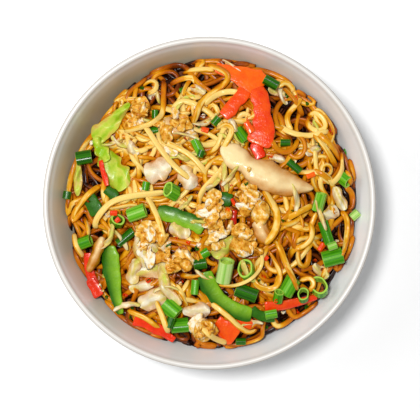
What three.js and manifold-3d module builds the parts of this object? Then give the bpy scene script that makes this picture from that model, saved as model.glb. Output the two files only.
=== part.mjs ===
// A round glazed bowl of stir-fried noodles with peppers, cabbage, egg, chicken and spring onion.
// Millimetres, +Z up. The origin is at the middle of the foot, on the table.
import * as THREE from "three";
import { ParametricGeometry } from "three/addons/geometries/ParametricGeometry.js";
import { mergeVertices } from "three/addons/utils/BufferGeometryUtils.js";
import Module from "manifold-3d";

// Bowl
const RIM_RADIUS = 90;
const BOWL_HEIGHT = 64;
const LIP_WIDTH = 3.1;
const FLOOR_HEIGHT = 8;
const FLOOR_RADIUS = 34;
const FOOT_HEIGHT = 4.5;
const FOOT_RADIUS = 40;
const FOOT_WAIST_RADIUS = 41;
const FOOT_INSIDE_RADIUS = 35;
const FOOT_RECESS = 2.5;
const WALL_ARC_SHARE = 0.4;
const BOWL_SIDES = 44;
const WALL_STEPS = 8;
const LIP_STEPS = 4;

// Heap of noodles: the bare core under the strands that show
const HEAP_EDGE_HEIGHT = 48;
const HEAP_RISE = 12.5;
const HEAP_RADIUS = 81;
const HEAP_TILT = 3;
const HEAP_TILT_HEADING = -10;
const SWELL_HEIGHT = 0.9;
const SWELL_LENGTH = 11;
const WALL_GAP = 0.9;
const CORE_SIDES = 40;
const CORE_TOP_RINGS = 8;
const CORE_SIDE_RINGS = 5;

// Noodles that show on the core
const NOODLE_COUNT = 24;
const NOODLE_RADIUS = 1.9;
const NOODLE_SIDES = 5;
const NOODLE_STEP = 3.6;
const NOODLE_MAX_STEPS = 22;
const NOODLE_MIN_SHOWING = 5;
const NOODLE_SHOWS = 0.5;
const NOODLE_RISE = 0.9;
const NOODLE_WAVE = 0.5;
const NOODLE_WAVE_LENGTH = 9;
const NOODLE_SUNK = 2.4;
const NOODLE_DIVE_START = 3.4;
const NOODLE_DIVE_END = 0.9;
const NOODLE_TURN = 0.3;
const NOODLE_EDGE_ROOM = 5;
const NOODLE_APART = 7.5;
const NOODLE_STARTS = 260;
const NOODLE_START_STRIDE = 101;
const NOODLE_SEED = 6;

// Toppings
const PIECE_GAP = 0.5;
const LIFT_STEP = 0.3;
const ONION_WALL = 1.1;
const ONION_SIDES = 8;
const RELIEF_TURNS = 3;
const RELIEF_SLANT = 5;
const RELIEF_WAVES = 4;
const RIPPLE_WAVES = 3.5;
const RIPPLE_SLANT = 2;

const FINISHES = {
  bowl: { color: 0xf1ece3, roughness: 0.2 },
  noodles: { color: 0xdcb258, roughness: 0.4 },
  red_pepper: { color: 0xe2401a, roughness: 0.3 },
  green_pepper: { color: 0x4f8f1c, roughness: 0.3 },
  cabbage: { color: 0xdcdc9c, roughness: 0.4 },
  chicken: { color: 0xe6c491, roughness: 0.5 },
  egg: { color: 0xe6b65a, roughness: 0.6 },
  spring_onion: { color: 0x3f9126, roughness: 0.35 },
};

// Section of each kind of cut piece and how blunt its ends are, then relief and ripple of its skin
const CUTS = {
  red_pepper: { thickness: 3, arch: 1.2, blunt: 4, square: 0.5, relief: 0, ripple: 0 },
  green_pepper: { thickness: 3.4, arch: 1.6, blunt: 4, square: 0.5, relief: 0, ripple: 0 },
  cabbage: { thickness: 1.4, arch: 0.8, blunt: 3, square: 0.7, relief: 0, ripple: 1.6 },
  chicken: { thickness: 7, arch: 0.4, blunt: 3, square: 0.8, relief: 0.06, ripple: 0 },
  egg: { thickness: 5, arch: 0.3, blunt: 2.4, square: 0.8, relief: 0.14, ripple: 0 },
};
const CUT_SIDES = { red_pepper: 6, green_pepper: 6, cabbage: 6, chicken: 8, egg: 8 };
const CUT_STEPS = { red_pepper: 8, green_pepper: 8, cabbage: 8, chicken: 8, egg: 7 };

// Cut pieces: middle of the piece, heading of its length, length, width and the turn along it.
// A spread widens the piece towards its far end and narrows it at its near end by that share.
const CUT_PIECES = {
  red_pepper: [
    { x: 16.5, y: 69.5, heading: -25, length: 28, width: 11.5, bend: -26, spread: 0.3 },
    { x: 14, y: 54, heading: -130, length: 19, width: 7.4, bend: -10 },
    { x: 29, y: 47, heading: -90, length: 32, width: 11, bend: -42, spread: 0.25 },
    { x: 26.5, y: 28.5, heading: -76, length: 9, width: 5, bend: 20 },
    { x: -65.5, y: -36.5, heading: -76, length: 19, width: 5, bend: 24 },
    { x: -29.5, y: -68, heading: -29, length: 25, width: 6, bend: -15, spread: -0.4 },
    { x: 9, y: -69, heading: -35, length: 14, width: 11, bend: 0 },
    { x: 44.5, y: -54.5, heading: 11, length: 29, width: 5, bend: 8, spread: -0.35 },
    { x: 13.2, y: -8.6, heading: -93, length: 10, width: 3.4, bend: 0 },
  ],
  green_pepper: [
    { x: -52.5, y: -42, heading: -81, length: 38, width: 8, bend: 12, spread: -0.3 },
    { x: -15, y: -8, heading: -20, length: 27, width: 8.4, bend: -22 },
    { x: 6.4, y: -53, heading: -43, length: 37, width: 8.8, bend: 72 },
    { x: 5.8, y: 3, heading: -15, length: 13, width: 7, bend: 0 },
    { x: -63.5, y: -0.5, heading: -60, length: 12, width: 8, bend: 0 },
  ],
  cabbage: [
    { x: -53, y: 44.5, heading: -134, length: 28, width: 9, bend: -10, spread: 0.42 },
    { x: -52, y: 18, heading: -58, length: 24, width: 13, bend: 10, spread: 0.15 },
    { x: -28, y: 18, heading: 15, length: 15, width: 14, bend: 0 },
    { x: -12, y: 14, heading: -60, length: 14, width: 9, bend: 0 },
    { x: 8, y: -23.5, heading: -135, length: 16, width: 8, bend: 15 },
    { x: -7, y: -58.5, heading: 5, length: 15, width: 8, bend: 0 },
    { x: -34, y: -35, heading: 20, length: 20, width: 13, bend: 20 },
    { x: -31, y: -52.5, heading: 20, length: 16, width: 11, bend: -20 },
    { x: 71, y: 2.6, heading: -65, length: 14, width: 6, bend: 0 },
    { x: -72, y: 13, heading: -90, length: 18, width: 4.5, bend: 0 },
  ],
  chicken: [
    { x: 29.5, y: 15, heading: -25, length: 56, width: 15.5, bend: 42, spread: -0.1 },
    { x: 28.5, y: -15.5, heading: -65, length: 14, width: 9, bend: 0 },
    { x: -61.5, y: -28, heading: -114, length: 21, width: 6.6, bend: -10 },
    { x: -20.5, y: 40.5, heading: -30, length: 13, width: 11, bend: 0 },
  ],
  egg: [
    { x: -37.5, y: 48.5, heading: 80, length: 15, width: 10, bend: 0 },
    { x: 1.5, y: -5.3, heading: -8, length: 18, width: 9, bend: 0 },
    { x: 4, y: -14.8, heading: 10, length: 9, width: 7.5, bend: 0 },
    { x: 22.5, y: 0.5, heading: 80, length: 15, width: 11, bend: 0 },
    { x: 19.5, y: -22.5, heading: 85, length: 14, width: 9, bend: 0 },
    { x: -34, y: -17, heading: 80, length: 16, width: 10, bend: 0 },
    { x: -16, y: -31, heading: 0, length: 16, width: 11, bend: 0 },
    { x: -4, y: -69.5, heading: -62, length: 13, width: 8, bend: 0 },
  ],
};

// Cut lengths of spring onion: middle, heading and tilt of the axis, length and diameter
const ONION_PIECES = [
  { x: -68.5, y: 25, heading: 10, tilt: 0, length: 8.5, diameter: 7 },
  { x: 17.8, y: 37, heading: -55, tilt: 10, length: 8.5, diameter: 5.6 },
  { x: -6, y: 30, heading: -65, tilt: 0, length: 10, diameter: 5.6 },
  { x: 33.5, y: 65.5, heading: -30, tilt: 0, length: 8.5, diameter: 5.6 },
  { x: -20.3, y: 6.4, heading: 150, tilt: 40, length: 6.5, diameter: 8 },
  { x: -50, y: -9.7, heading: 60, tilt: 65, length: 5.5, diameter: 7 },
  { x: -39.3, y: -5.3, heading: 20, tilt: 10, length: 10, diameter: 7 },
  { x: -45.5, y: -18.5, heading: 40, tilt: 0, length: 11, diameter: 5 },
  { x: -68.5, y: -21.5, heading: 20, tilt: 10, length: 8.5, diameter: 7.5 },
  { x: 59.6, y: 0.7, heading: 75, tilt: 10, length: 10, diameter: 7 },
  { x: 73.2, y: 13, heading: -40, tilt: 30, length: 7, diameter: 6.4 },
  { x: 63.4, y: -16, heading: -72, tilt: 0, length: 13, diameter: 5 },
  { x: 67, y: -29.5, heading: 15, tilt: 0, length: 11, diameter: 8 },
  { x: 43.3, y: -45, heading: 60, tilt: 10, length: 10, diameter: 8 },
  { x: 59.5, y: -45.5, heading: 100, tilt: 62, length: 5.5, diameter: 10 },
  { x: 8.5, y: -36.5, heading: 80, tilt: 20, length: 12, diameter: 9.5 },
  { x: 20, y: -36, heading: 130, tilt: 62, length: 5.5, diameter: 9.6 },
  { x: 20, y: -48.5, heading: -20, tilt: 0, length: 12, diameter: 7 },
  { x: -20.8, y: -57.5, heading: -40, tilt: 10, length: 9.5, diameter: 8 },
  { x: -16, y: -66.5, heading: 5, tilt: 0, length: 9.5, diameter: 7.4 },
];

// Fineness of the working
const MERGE_DISTANCE = 1e-3;
const NEARLY_STRAIGHT = 1e-6;
const HALVINGS = 30;
const DRAW_FACTOR = 16807;
const DRAW_LIMIT = 2147483647;

const wasm = await Module();
wasm.setup();

const radians = THREE.MathUtils.degToRad;

// Radius of a bowl wall at a height: the lower part of a quarter ellipse, so that the rim still flares.
function wallRadius(height, low, high) {
  const climb = WALL_ARC_SHARE * (height - low.height) / (high.height - low.height);
  const full = Math.sqrt(1 - (1 - WALL_ARC_SHARE) ** 2);
  return low.radius + (high.radius - low.radius) * Math.sqrt(1 - (1 - climb) ** 2) / full;
}

const LIP_HEIGHT = BOWL_HEIGHT - LIP_WIDTH / 2;
const INSIDE_LOW = { height: FLOOR_HEIGHT, radius: FLOOR_RADIUS };
const INSIDE_HIGH = { height: LIP_HEIGHT, radius: RIM_RADIUS - LIP_WIDTH };
const OUTSIDE_LOW = { height: FOOT_HEIGHT, radius: FOOT_WAIST_RADIUS };
const OUTSIDE_HIGH = { height: LIP_HEIGHT, radius: RIM_RADIUS };

// Points of one wall from its low end to its high end, closer together where the curve is tight.
function wallPoints(low, high) {
  const points = [];
  for (let i = 0; i <= WALL_STEPS; i += 1) {
    const share = (i / WALL_STEPS) ** 2;
    const height = low.height + (high.height - low.height) * share;
    points.push(new THREE.Vector2(wallRadius(height, low, high), height));
  }
  return points;
}

function bowlProfile() {
  const lip = [];
  const lipMiddle = RIM_RADIUS - LIP_WIDTH / 2;
  for (let i = 1; i < LIP_STEPS; i += 1) {
    const angle = Math.PI * i / LIP_STEPS;
    const out = LIP_WIDTH / 2 * Math.cos(angle);
    lip.push(new THREE.Vector2(lipMiddle + out, LIP_HEIGHT + LIP_WIDTH / 2 * Math.sin(angle)));
  }
  return [
    new THREE.Vector2(0, FOOT_RECESS),
    new THREE.Vector2(FOOT_INSIDE_RADIUS - FOOT_RECESS / 2, FOOT_RECESS),
    new THREE.Vector2(FOOT_INSIDE_RADIUS, 0),
    new THREE.Vector2(FOOT_RADIUS, 0),
    ...wallPoints(OUTSIDE_LOW, OUTSIDE_HIGH),
    ...lip,
    ...wallPoints(INSIDE_LOW, INSIDE_HIGH).reverse(),
    new THREE.Vector2(0, FLOOR_HEIGHT),
  ];
}

// A geometry with only positions, shared points merged, empty triangles dropped and faces turned outwards.
function closedGeometry(geometry) {
  geometry.deleteAttribute("normal");
  geometry.deleteAttribute("uv");
  const merged = mergeVertices(geometry, MERGE_DISTANCE);
  const place = merged.getAttribute("position");
  const corners = merged.index.array;
  const kept = [];
  const [a, b, c] = [new THREE.Vector3(), new THREE.Vector3(), new THREE.Vector3()];
  let volume = 0;
  for (let i = 0; i < corners.length; i += 3) {
    const [p, q, r] = [corners[i], corners[i + 1], corners[i + 2]];
    if (p === q || q === r || r === p) continue;
    kept.push([p, q, r]);
    a.fromBufferAttribute(place, p);
    b.fromBufferAttribute(place, q);
    c.fromBufferAttribute(place, r);
    volume += a.dot(b.cross(c));
  }
  merged.setIndex((volume > 0 ? kept : kept.map(([p, q, r]) => [p, r, q])).flat());
  return merged;
}

function solidOf(geometry) {
  return new wasm.Manifold(new wasm.Mesh({
    numProp: 3,
    vertProperties: Float32Array.from(geometry.getAttribute("position").array),
    triVerts: Uint32Array.from(geometry.index.array),
  }));
}

function geometryOf(solid) {
  const mesh = solid.getMesh();
  const geometry = new THREE.BufferGeometry();
  geometry.setAttribute("position", new THREE.BufferAttribute(Float32Array.from(mesh.vertProperties), 3));
  geometry.setIndex(Array.from(mesh.triVerts));
  return geometry;
}

// Height of the bare core: a low dome, leaning to one side, with gentle swells.
function heapHeight(x, y) {
  const out = Math.hypot(x, y) / HEAP_RADIUS;
  const lean = radians(HEAP_TILT_HEADING);
  const tilt = HEAP_TILT * (x * Math.cos(lean) + y * Math.sin(lean)) / HEAP_RADIUS;
  const swell = SWELL_HEIGHT * Math.sin(x / SWELL_LENGTH) * Math.cos(y / SWELL_LENGTH);
  return HEAP_EDGE_HEIGHT + HEAP_RISE * (1 - out * out) + tilt + swell;
}

function insideRadius(height) {
  return wallRadius(height, INSIDE_LOW, INSIDE_HIGH) - WALL_GAP;
}

// Radius at which the core's top meets the wall in one direction, found by halving.
function heapEdgeRadius(angle) {
  let [near, far] = [0, RIM_RADIUS];
  for (let i = 0; i < HALVINGS; i += 1) {
    const radius = (near + far) / 2;
    const height = heapHeight(radius * Math.cos(angle), radius * Math.sin(angle));
    if (radius < insideRadius(height)) near = radius;
    else far = radius;
  }
  return near;
}

// The core: its top out to the wall in rings, then down the wall to a point in the middle of the floor.
function heapCore() {
  const rings = CORE_TOP_RINGS + CORE_SIDE_RINGS + 1;
  const floor = FLOOR_HEIGHT + WALL_GAP;
  const surface = (u, v, target) => {
    const angle = 2 * Math.PI * Math.round(u * CORE_SIDES) / CORE_SIDES;
    const ring = Math.min(Math.round(v * rings), rings);
    const edge = heapEdgeRadius(angle);
    const [across, up] = [Math.cos(angle), Math.sin(angle)];
    if (ring <= CORE_TOP_RINGS) {
      const radius = edge * ring / CORE_TOP_RINGS;
      target.set(radius * across, radius * up, heapHeight(radius * across, radius * up));
      return;
    }
    if (ring === rings) {
      target.set(0, 0, floor);
      return;
    }
    const down = 1 - (ring - CORE_TOP_RINGS) / CORE_SIDE_RINGS;
    const height = floor + (heapHeight(edge * across, edge * up) - floor) * down * down;
    const radius = insideRadius(height);
    target.set(radius * across, radius * up, height);
  };
  return closedGeometry(new ParametricGeometry(surface, CORE_SIDES, rings));
}

// Point and direction at a share s from -1 to 1 of an arc that turns evenly about its own middle.
function alongArc(piece, share) {
  const middle = radians(piece.heading);
  const half = radians(piece.bend) / 2;
  const turn = half * share;
  const straight = Math.abs(half) < NEARLY_STRAIGHT;
  const reach = straight ? share : Math.sin(turn) / half;
  const drift = straight ? 0 : (1 - Math.cos(turn)) / half;
  const scale = piece.length / 2;
  return {
    x: piece.x + scale * (reach * Math.cos(middle) - drift * Math.sin(middle)),
    y: piece.y + scale * (reach * Math.sin(middle) + drift * Math.cos(middle)),
    heading: middle + turn,
  };
}

function signedPower(value, power) {
  return Math.sign(value) * Math.abs(value) ** power;
}

// How much of the full width and thickness is left towards the ends.
function endTaper(share, blunt) {
  return Math.max(0, 1 - Math.abs(share) ** blunt) ** (1 / blunt);
}

// A cut piece laid on the heap: a rounded section carried along an arc, closing at both ends.
// Its heights are measured from the core under each point, so that it bends over the heap.
function laidPiece(piece, kind) {
  const cut = CUTS[kind];
  const spread = piece.spread ?? 0;
  const base = heapHeight(piece.x, piece.y);
  const surface = (u, v, target) => {
    const share = Math.sin((2 * v - 1) * Math.PI / 2);
    const angle = 2 * Math.PI * u;
    const taper = endTaper(share, cut.blunt);
    const bumps = Math.sin(RELIEF_TURNS * angle + RELIEF_SLANT * share + piece.x);
    const rough = 1 + cut.relief * bumps * Math.cos(RELIEF_WAVES * share + piece.y);
    const side = signedPower(Math.cos(angle), cut.square) * taper * rough;
    const rise = (1 + signedPower(Math.sin(angle), cut.square) * taper * rough) / 2;
    const wave = (1 + Math.sin(RIPPLE_WAVES * share + RIPPLE_SLANT * side + piece.x)) / 2;
    const on = alongArc(piece, share);
    const out = side * piece.width / 2 * (1 + spread * share);
    const x = on.x - Math.sin(on.heading) * out;
    const y = on.y + Math.cos(on.heading) * out;
    const height = rise * cut.thickness + cut.arch * (1 - side * side) + cut.ripple * wave;
    target.set(x - piece.x, y - piece.y, heapHeight(x, y) - base + height + PIECE_GAP);
  };
  return closedGeometry(new ParametricGeometry(surface, CUT_SIDES[kind], CUT_STEPS[kind]));
}

// A cut length of spring onion: a hollow ring of rectangular section about its own axis.
function onionTube(piece) {
  const outside = piece.diameter / 2;
  const inside = outside - ONION_WALL;
  const half = piece.length / 2;
  const section = [[inside, -half], [outside, -half], [outside, half], [inside, half], [inside, -half]];
  const profile = section.map(([radius, height]) => new THREE.Vector2(radius, height));
  return closedGeometry(new THREE.LatheGeometry(profile, ONION_SIDES));
}

const food = new THREE.Group();
const laid = [];
const footprints = [];

function meshOf(name, geometry, finish) {
  const mesh = new THREE.Mesh(geometry, new THREE.MeshStandardMaterial({ ...finish, metalness: 0 }));
  mesh.name = name;
  return mesh;
}

function placedSolid(mesh) {
  mesh.updateMatrix();
  return solidOf(mesh.geometry.clone().applyMatrix4(mesh.matrix));
}

function boxesMeet(a, b) {
  return [0, 1, 2].every((axis) => a.min[axis] < b.max[axis] && b.min[axis] < a.max[axis]);
}

// Lifts a piece until it lies clear on top of the pieces that were laid before it.
function restOnOthers(mesh) {
  const solid = placedSolid(mesh);
  let lift = 0;
  const meets = (other) => {
    const lowered = solid.translate([0, 0, lift - PIECE_GAP]);
    return boxesMeet(lowered.boundingBox(), other.boundingBox()) && !lowered.intersect(other).isEmpty();
  };
  while (laid.some(meets)) lift += LIFT_STEP;
  mesh.position.z += lift;
  laid.push(solid.translate([0, 0, lift]));
}

// Raises a tube until its lowest point is one gap above the core.
function restOnHeap(mesh) {
  mesh.updateMatrix();
  const place = mesh.geometry.clone().applyMatrix4(mesh.matrix).getAttribute("position");
  let lift = -Infinity;
  for (let i = 0; i < place.count; i += 1) {
    lift = Math.max(lift, heapHeight(place.getX(i), place.getY(i)) + PIECE_GAP - place.getZ(i));
  }
  mesh.position.z += lift;
}

// Discs that cover what a piece takes up on the heap, seen from above.
function coverGround(piece, width) {
  const reach = Math.max(0, 1 - width / piece.length);
  const steps = Math.ceil(2 * piece.length / width);
  for (let i = 0; i <= steps; i += 1) {
    const on = alongArc(piece, reach * (2 * i / steps - 1));
    footprints.push({ x: on.x, y: on.y, radius: width / 2 });
  }
}

function layCutPieces(kind) {
  CUT_PIECES[kind].forEach((piece, index) => {
    const mesh = meshOf(`${kind}_${index + 1}`, laidPiece(piece, kind), FINISHES[kind]);
    mesh.position.set(piece.x, piece.y, heapHeight(piece.x, piece.y));
    restOnOthers(mesh);
    food.add(mesh);
    coverGround(piece, piece.width);
  });
}

function layOnions() {
  ONION_PIECES.forEach((piece, index) => {
    const mesh = meshOf(`spring_onion_${index + 1}`, onionTube(piece), FINISHES.spring_onion);
    const level = Math.cos(radians(piece.tilt));
    const heading = radians(piece.heading);
    const axis = new THREE.Vector3(level * Math.cos(heading), level * Math.sin(heading), 0);
    axis.z = Math.sin(radians(piece.tilt));
    mesh.quaternion.setFromUnitVectors(new THREE.Vector3(0, 1, 0), axis);
    mesh.position.set(piece.x, piece.y, heapHeight(piece.x, piece.y));
    restOnHeap(mesh);
    restOnOthers(mesh);
    food.add(mesh);
    coverGround({ ...piece, bend: 0 }, piece.diameter);
  });
}

// Seeded random numbers from 0 to 1, the same in every run.
function randomDraws(seed) {
  let state = seed;
  return () => {
    state = (state * DRAW_FACTOR) % DRAW_LIMIT;
    return state / DRAW_LIMIT;
  };
}

function clearOfToppings(x, y) {
  return Math.min(...footprints.map((foot) => Math.hypot(x - foot.x, y - foot.y) - foot.radius));
}

function insideHeap(x, y) {
  return Math.hypot(x, y) < heapEdgeRadius(Math.atan2(y, x)) - NOODLE_EDGE_ROOM;
}

// How far a noodle shows above the core: 1 in the open, 0 where it dives into the heap under a topping.
function showing(x, y) {
  const share = (clearOfToppings(x, y) - NOODLE_DIVE_END) / (NOODLE_DIVE_START - NOODLE_DIVE_END);
  return THREE.MathUtils.clamp(share, 0, 1);
}

// A wandering line over the heap, walked both ways from its start until it comes to the wall.
function noodlePlan(start, draw) {
  const heading = 2 * Math.PI * draw();
  const bend = NOODLE_TURN * (draw() - 0.5);
  const phase = 2 * Math.PI * draw();
  const walk = (way) => {
    const points = [];
    let [x, y, towards] = [start.x, start.y, heading + (way > 0 ? 0 : Math.PI)];
    for (let i = 1; i <= NOODLE_MAX_STEPS / 2; i += 1) {
      towards += way * bend + NOODLE_TURN / 2 * Math.sin(phase + way * i * NOODLE_STEP / NOODLE_WAVE_LENGTH);
      x += NOODLE_STEP * Math.cos(towards);
      y += NOODLE_STEP * Math.sin(towards);
      if (!insideHeap(x, y)) break;
      points.push({ x, y, show: showing(x, y) });
    }
    return points;
  };
  const middle = { ...start, show: showing(start.x, start.y) };
  return [...walk(-1).reverse(), middle, ...walk(1)];
}

function noodlePath(plan) {
  return plan.map((point, index) => {
    const wave = NOODLE_WAVE * Math.sin(index * NOODLE_STEP / NOODLE_WAVE_LENGTH);
    const rise = (NOODLE_RISE + wave + NOODLE_SUNK) * point.show - NOODLE_SUNK;
    return new THREE.Vector3(point.x, point.y, heapHeight(point.x, point.y) + rise);
  });
}

function noodleSolid(path) {
  const section = new THREE.Shape();
  for (let i = 0; i < NOODLE_SIDES; i += 1) {
    const angle = 2 * Math.PI * i / NOODLE_SIDES;
    const [across, up] = [NOODLE_RADIUS * Math.cos(angle), NOODLE_RADIUS * Math.sin(angle)];
    if (i === 0) section.moveTo(across, up);
    else section.lineTo(across, up);
  }
  section.closePath();
  const curve = new THREE.CatmullRomCurve3(path);
  const options = { steps: path.length - 1, extrudePath: curve, bevelEnabled: false };
  return solidOf(closedGeometry(new THREE.ExtrudeGeometry(section, options)));
}

// The noodles that show, spread over the heap by a sunflower spiral taken in a shuffled order.
function noodleHeap() {
  const draw = randomDraws(NOODLE_SEED);
  const goldenAngle = Math.PI * (3 - Math.sqrt(5));
  let heap = solidOf(heapCore());
  let count = 0;
  const shown = [];
  for (let i = 0; i < NOODLE_STARTS && count < NOODLE_COUNT; i += 1) {
    const turn = (i * NOODLE_START_STRIDE) % NOODLE_STARTS;
    const radius = HEAP_RADIUS * Math.sqrt((turn + 0.5) / NOODLE_STARTS);
    const start = { x: radius * Math.cos(turn * goldenAngle), y: radius * Math.sin(turn * goldenAngle) };
    if (!insideHeap(start.x, start.y) || showing(start.x, start.y) < 1) continue;
    if (shown.some((point) => Math.hypot(point.x - start.x, point.y - start.y) < NOODLE_APART)) continue;
    const plan = noodlePlan(start, draw);
    const open = plan.filter((point) => point.show > NOODLE_SHOWS);
    if (open.length < NOODLE_MIN_SHOWING) continue;
    heap = heap.add(noodleSolid(noodlePath(plan)));
    shown.push(...open);
    count += 1;
  }
  const bodies = heap.decompose();
  return bodies.reduce((best, body) => (body.volume() > best.volume() ? body : best));
}

const bowlShape = new THREE.LatheGeometry(bowlProfile(), BOWL_SIDES);
bowlShape.rotateX(Math.PI / 2);
const bowl = meshOf("bowl", closedGeometry(bowlShape), FINISHES.bowl);

Object.keys(CUT_PIECES).forEach(layCutPieces);
layOnions();
food.add(meshOf("noodles", geometryOf(noodleHeap()), FINISHES.noodles));

const bowlOfNoodles = new THREE.Group();
bowlOfNoodles.add(bowl, food);

export default bowlOfNoodles;
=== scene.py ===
# %% [markdown]
# # A bowl of stir-fried noodles
# A white glazed bowl holds wheat noodles fried with peppers, cabbage, chicken, egg and spring onion.
# The frame gives every piece its place. This lesson makes the same pieces finely enough for a picture.
# All shapes are worked out in millimetres and turned into metres only when a mesh is made.

import math

import bpy
import numpy as np
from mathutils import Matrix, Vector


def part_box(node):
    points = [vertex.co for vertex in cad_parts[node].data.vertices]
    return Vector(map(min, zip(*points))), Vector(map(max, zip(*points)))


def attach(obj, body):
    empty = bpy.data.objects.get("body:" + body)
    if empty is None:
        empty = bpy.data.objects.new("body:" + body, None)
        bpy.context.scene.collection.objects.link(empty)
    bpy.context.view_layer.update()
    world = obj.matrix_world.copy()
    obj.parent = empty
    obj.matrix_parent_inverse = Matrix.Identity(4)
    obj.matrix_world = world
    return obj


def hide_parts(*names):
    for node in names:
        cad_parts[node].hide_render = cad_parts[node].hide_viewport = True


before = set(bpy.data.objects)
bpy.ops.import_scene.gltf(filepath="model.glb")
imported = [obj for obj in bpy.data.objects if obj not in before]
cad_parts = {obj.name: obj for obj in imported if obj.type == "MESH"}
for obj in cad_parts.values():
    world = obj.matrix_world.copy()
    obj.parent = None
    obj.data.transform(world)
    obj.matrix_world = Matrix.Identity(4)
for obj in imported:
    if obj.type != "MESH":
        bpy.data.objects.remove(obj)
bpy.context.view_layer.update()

# %% [markdown]
# Every piece of food is a closed skin. A noodle, a strip of pepper and even a lump of egg can be made the
# same way: rings of points follow one another along a line, and each end is closed by a point.
# A cut length of spring onion is hollow, so its rings go round in a loop and meet again.

# %% Closed skins
MM = 0.001


def closed_skin(rings, loop=False, **values):
    """Rings of points joined ring to ring. A loop joins the last ring to the first, and otherwise a point
    in the middle of each end ring closes the skin. Values are numbers per point, kept under their names."""
    count, sides = rings.shape[:2]
    ring = np.arange(count if loop else count - 1)[:, None]
    here, after = np.arange(sides), (np.arange(sides) + 1) % sides
    low, high = sides * ring, sides * ((ring + 1) % count)
    corners = [low + here, low + after, high + after, low + here, high + after, high + here]
    triangles = np.stack(corners, axis=-1).reshape(-1, 3)
    points = rings.reshape(-1, 3)
    kept = {name: np.broadcast_to(value, (count, sides)) for name, value in values.items()}
    flat = {name: value.ravel() for name, value in kept.items()}
    if not loop:
        last = sides * (count - 1)
        start = np.stack([np.full(sides, count * sides), after, here], axis=-1)
        end = np.stack([np.full(sides, count * sides + 1), last + here, last + after], axis=-1)
        triangles = np.concatenate([triangles, start, end])
        points = np.concatenate([points, rings[[0, -1]].mean(axis=1)])
        flat = {name: np.append(value, kept[name][[0, -1]].mean(axis=1)) for name, value in flat.items()}
    a, b, c = np.moveaxis(points[triangles], 1, 0)
    if np.einsum("ij,ij->", a, np.cross(b, c)) < 0:
        triangles = triangles[:, ::-1]
    return {"points": points, "triangles": triangles, "values": flat}


# %% [markdown]
# Hundreds of noodles as hundreds of objects would be slow to handle, so all skins of a kind become one mesh.
# Whole arrays go into the mesh at once, which takes a moment even for a hundred thousand triangles.

# %% Meshes
def make_piece(name, skins, material, nodes, sharp=180):
    """Joins skins into one mesh at the origin, in metres, that stands for its nodes of the frame.
    Edges that turn by more than the sharp angle in degrees stay crisp."""
    starts = np.cumsum([0] + [len(skin["points"]) for skin in skins[:-1]])
    points = np.concatenate([skin["points"] for skin in skins]) * MM
    triangles = np.concatenate([skin["triangles"] + start for skin, start in zip(skins, starts)])
    mesh = bpy.data.meshes.new(name)
    mesh.vertices.add(len(points))
    mesh.vertices.foreach_set("co", points.ravel())
    mesh.loops.add(triangles.size)
    mesh.loops.foreach_set("vertex_index", triangles.ravel())
    mesh.polygons.add(len(triangles))
    mesh.polygons.foreach_set("loop_start", np.arange(0, triangles.size, 3))
    mesh.update(calc_edges=True)
    mesh.shade_smooth()
    mesh.set_sharp_from_angle(angle=math.radians(sharp))
    for value_name in skins[0]["values"]:
        layer = mesh.attributes.new(value_name, "FLOAT", "POINT")
        layer.data.foreach_set("value", np.concatenate([skin["values"][value_name] for skin in skins]))
    mesh.materials.append(material)
    piece = bpy.data.objects.new(name, mesh)
    bpy.context.scene.collection.objects.link(piece)
    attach(piece, "root")
    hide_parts(*nodes)
    top = round(points[:, 2].max() / MM, 1)
    print(name, len(skins), "skins,", len(triangles), "triangles, top at", top, "mm")


# %% [markdown]
# Colours are noted as they look on a screen and turned into light values in one place. One function adds a
# node to a material, whatever its kind. What it is given for an input decides what happens there: a socket is
# linked, a name stands for the number that the piece keeps at each point, and anything else is set.

# %% Colours and nodes
def light(code):
    """A screen colour such as "f2ead9" as linear red, green and blue with full cover."""
    screen = np.array([int(code[i:i + 2], 16) for i in (0, 2, 4)]) / 255
    linear = np.where(screen <= 0.04045, screen / 12.92, ((screen + 0.055) / 1.055) ** 2.4)
    return (*linear.tolist(), 1.0)


def fill_inputs(tree, made, inputs):
    """Fills a node's inputs, which go by name or number, by links, numbers kept per point or plain values."""
    for socket, value in inputs.items():
        if isinstance(value, str):
            value = add_node(tree, "Attribute", "Fac", {}, attribute_name=value)
        if isinstance(value, bpy.types.NodeSocket):
            tree.links.new(value, made.inputs[socket])
        else:
            made.inputs[socket].default_value = value


def add_node(tree, kind, output, inputs, stops=(), **settings):
    """Adds one node of a kind with its settings, colour stops and inputs, and gives one of its outputs."""
    made = tree.nodes.new("ShaderNode" + kind)
    for name, value in settings.items():
        setattr(made, name, value)
    for number, (place, code) in enumerate(stops):
        stop = made.color_ramp.elements[number] if number < 2 else made.color_ramp.elements.new(place)
        stop.position = place
        stop.color = light(code)
    fill_inputs(tree, made, inputs)
    return made.outputs[output]


def make_material(name, inputs_of):
    """A material whose one shader takes the inputs that a function works out from the node tree."""
    made = bpy.data.materials.new(name)
    made.use_nodes = True
    tree = made.node_tree
    fill_inputs(tree, tree.nodes["Principled BSDF"], inputs_of(tree))
    return made


# %% [markdown]
# Food is never one flat colour. A pattern here is a noise with lumps of a size in mm, or a number that the
# piece keeps at each point, such as how deep it lies. A weighted sum of these picks the colour at a place.
# All cooked food shares one look: water and oil make it shine, and some light goes in and comes out again.

# %% Patterns and moist food
FOOD_IOR, FOOD_SHINE, OIL_ROUGHNESS = 1.42, 0.25, 0.18
LIGHT_SHARE, LIGHT_DEPTH = 0.1, 1.5


def grain(tree, size, detail=2.0):
    """Uneven value from 0 to 1 with lumps of that size in mm, fixed to the piece."""
    place = add_node(tree, "TexCoord", "Object", {})
    return add_node(tree, "TexNoise", "Fac", {"Vector": place, "Scale": 1 / (size * MM), "Detail": detail})


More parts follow.
